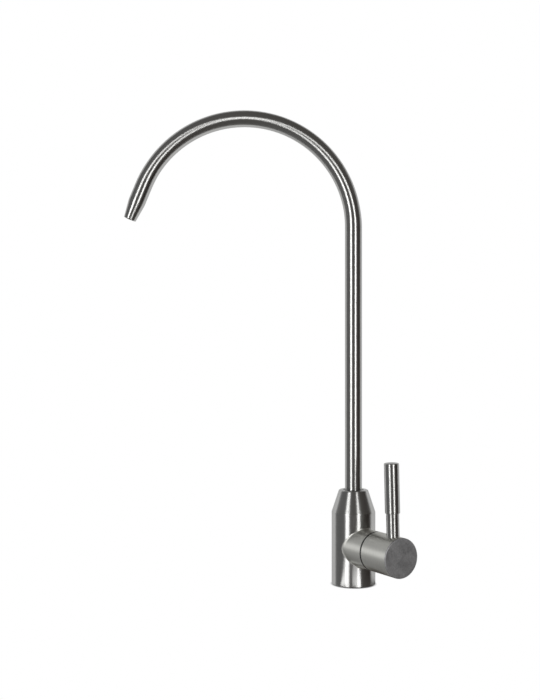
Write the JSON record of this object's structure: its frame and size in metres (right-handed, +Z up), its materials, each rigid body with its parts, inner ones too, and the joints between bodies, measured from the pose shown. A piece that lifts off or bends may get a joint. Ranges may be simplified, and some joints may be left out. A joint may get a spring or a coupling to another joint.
{
  "type": "drinking water filter tap",
  "caption": "Brushed steel drinking water tap: column with conical shoulder, swivelling swan-neck spout and a side quarter-turn valve worked by a knob with an upright pin lever.",
  "frame": {"origin": "on the worktop, on the column's axis, at the mouth of the tapped hole for the fixing shank", "axes": "+Z up along the column; the spout lies over -X; the valve's axis points to -Y, turned 30.4 degrees towards +X"},
  "size_m": [0.1875, 0.0647, 0.3114],
  "materials": {
    "steel": "satin stainless steel, fine turned grain",
    "brushed": "brushed stainless steel, grain round the axis",
    "spring": "spring steel, bright",
    "brass": "machined brass",
    "ceramic": "lapped ceramic",
    "rubber": "black rubber",
    "acetal": "black acetal, satin",
    "slip": "white slip plastic"
  },
  "bodies": {
    "tap_body": {"column": "steel", "valve_stub": "brushed", "base_gasket": "rubber", "swivel_bush": "acetal", "thrust_washer": "slip", "glide_ring": "acetal", "cartridge_housing": "brass", "cartridge_o_ring": "rubber", "seat_seal": "rubber", "fixed_disc": "ceramic"},
    "spout": {"spout_tube": "steel", "spout_tail": "brass", "tail_o_ring_upper": "rubber", "tail_o_ring_lower": "rubber", "spout_snap_ring": "spring"},
    "handle": {"knob": "brushed", "lever": "steel", "knob_grub_screw": "spring", "spindle": "brass", "moving_disc": "ceramic", "spindle_washer": "slip", "spindle_o_ring_inner": "rubber", "spindle_o_ring_outer": "rubber", "spindle_clip": "spring"}
  },
  "joints": [
    {"name": "spout_swivel", "type": "hinge", "parent": "tap_body", "child": "spout", "pos_m": [0, 0, 0.05], "axis": [0, 0, 1], "continuous": true},
    {"name": "handle_turn", "type": "hinge", "parent": "tap_body", "child": "handle", "pos_m": [0, 0, 0.0254], "axis": [0.506, -0.8625, 0], "range_deg": [0, 90]}
  ]
}
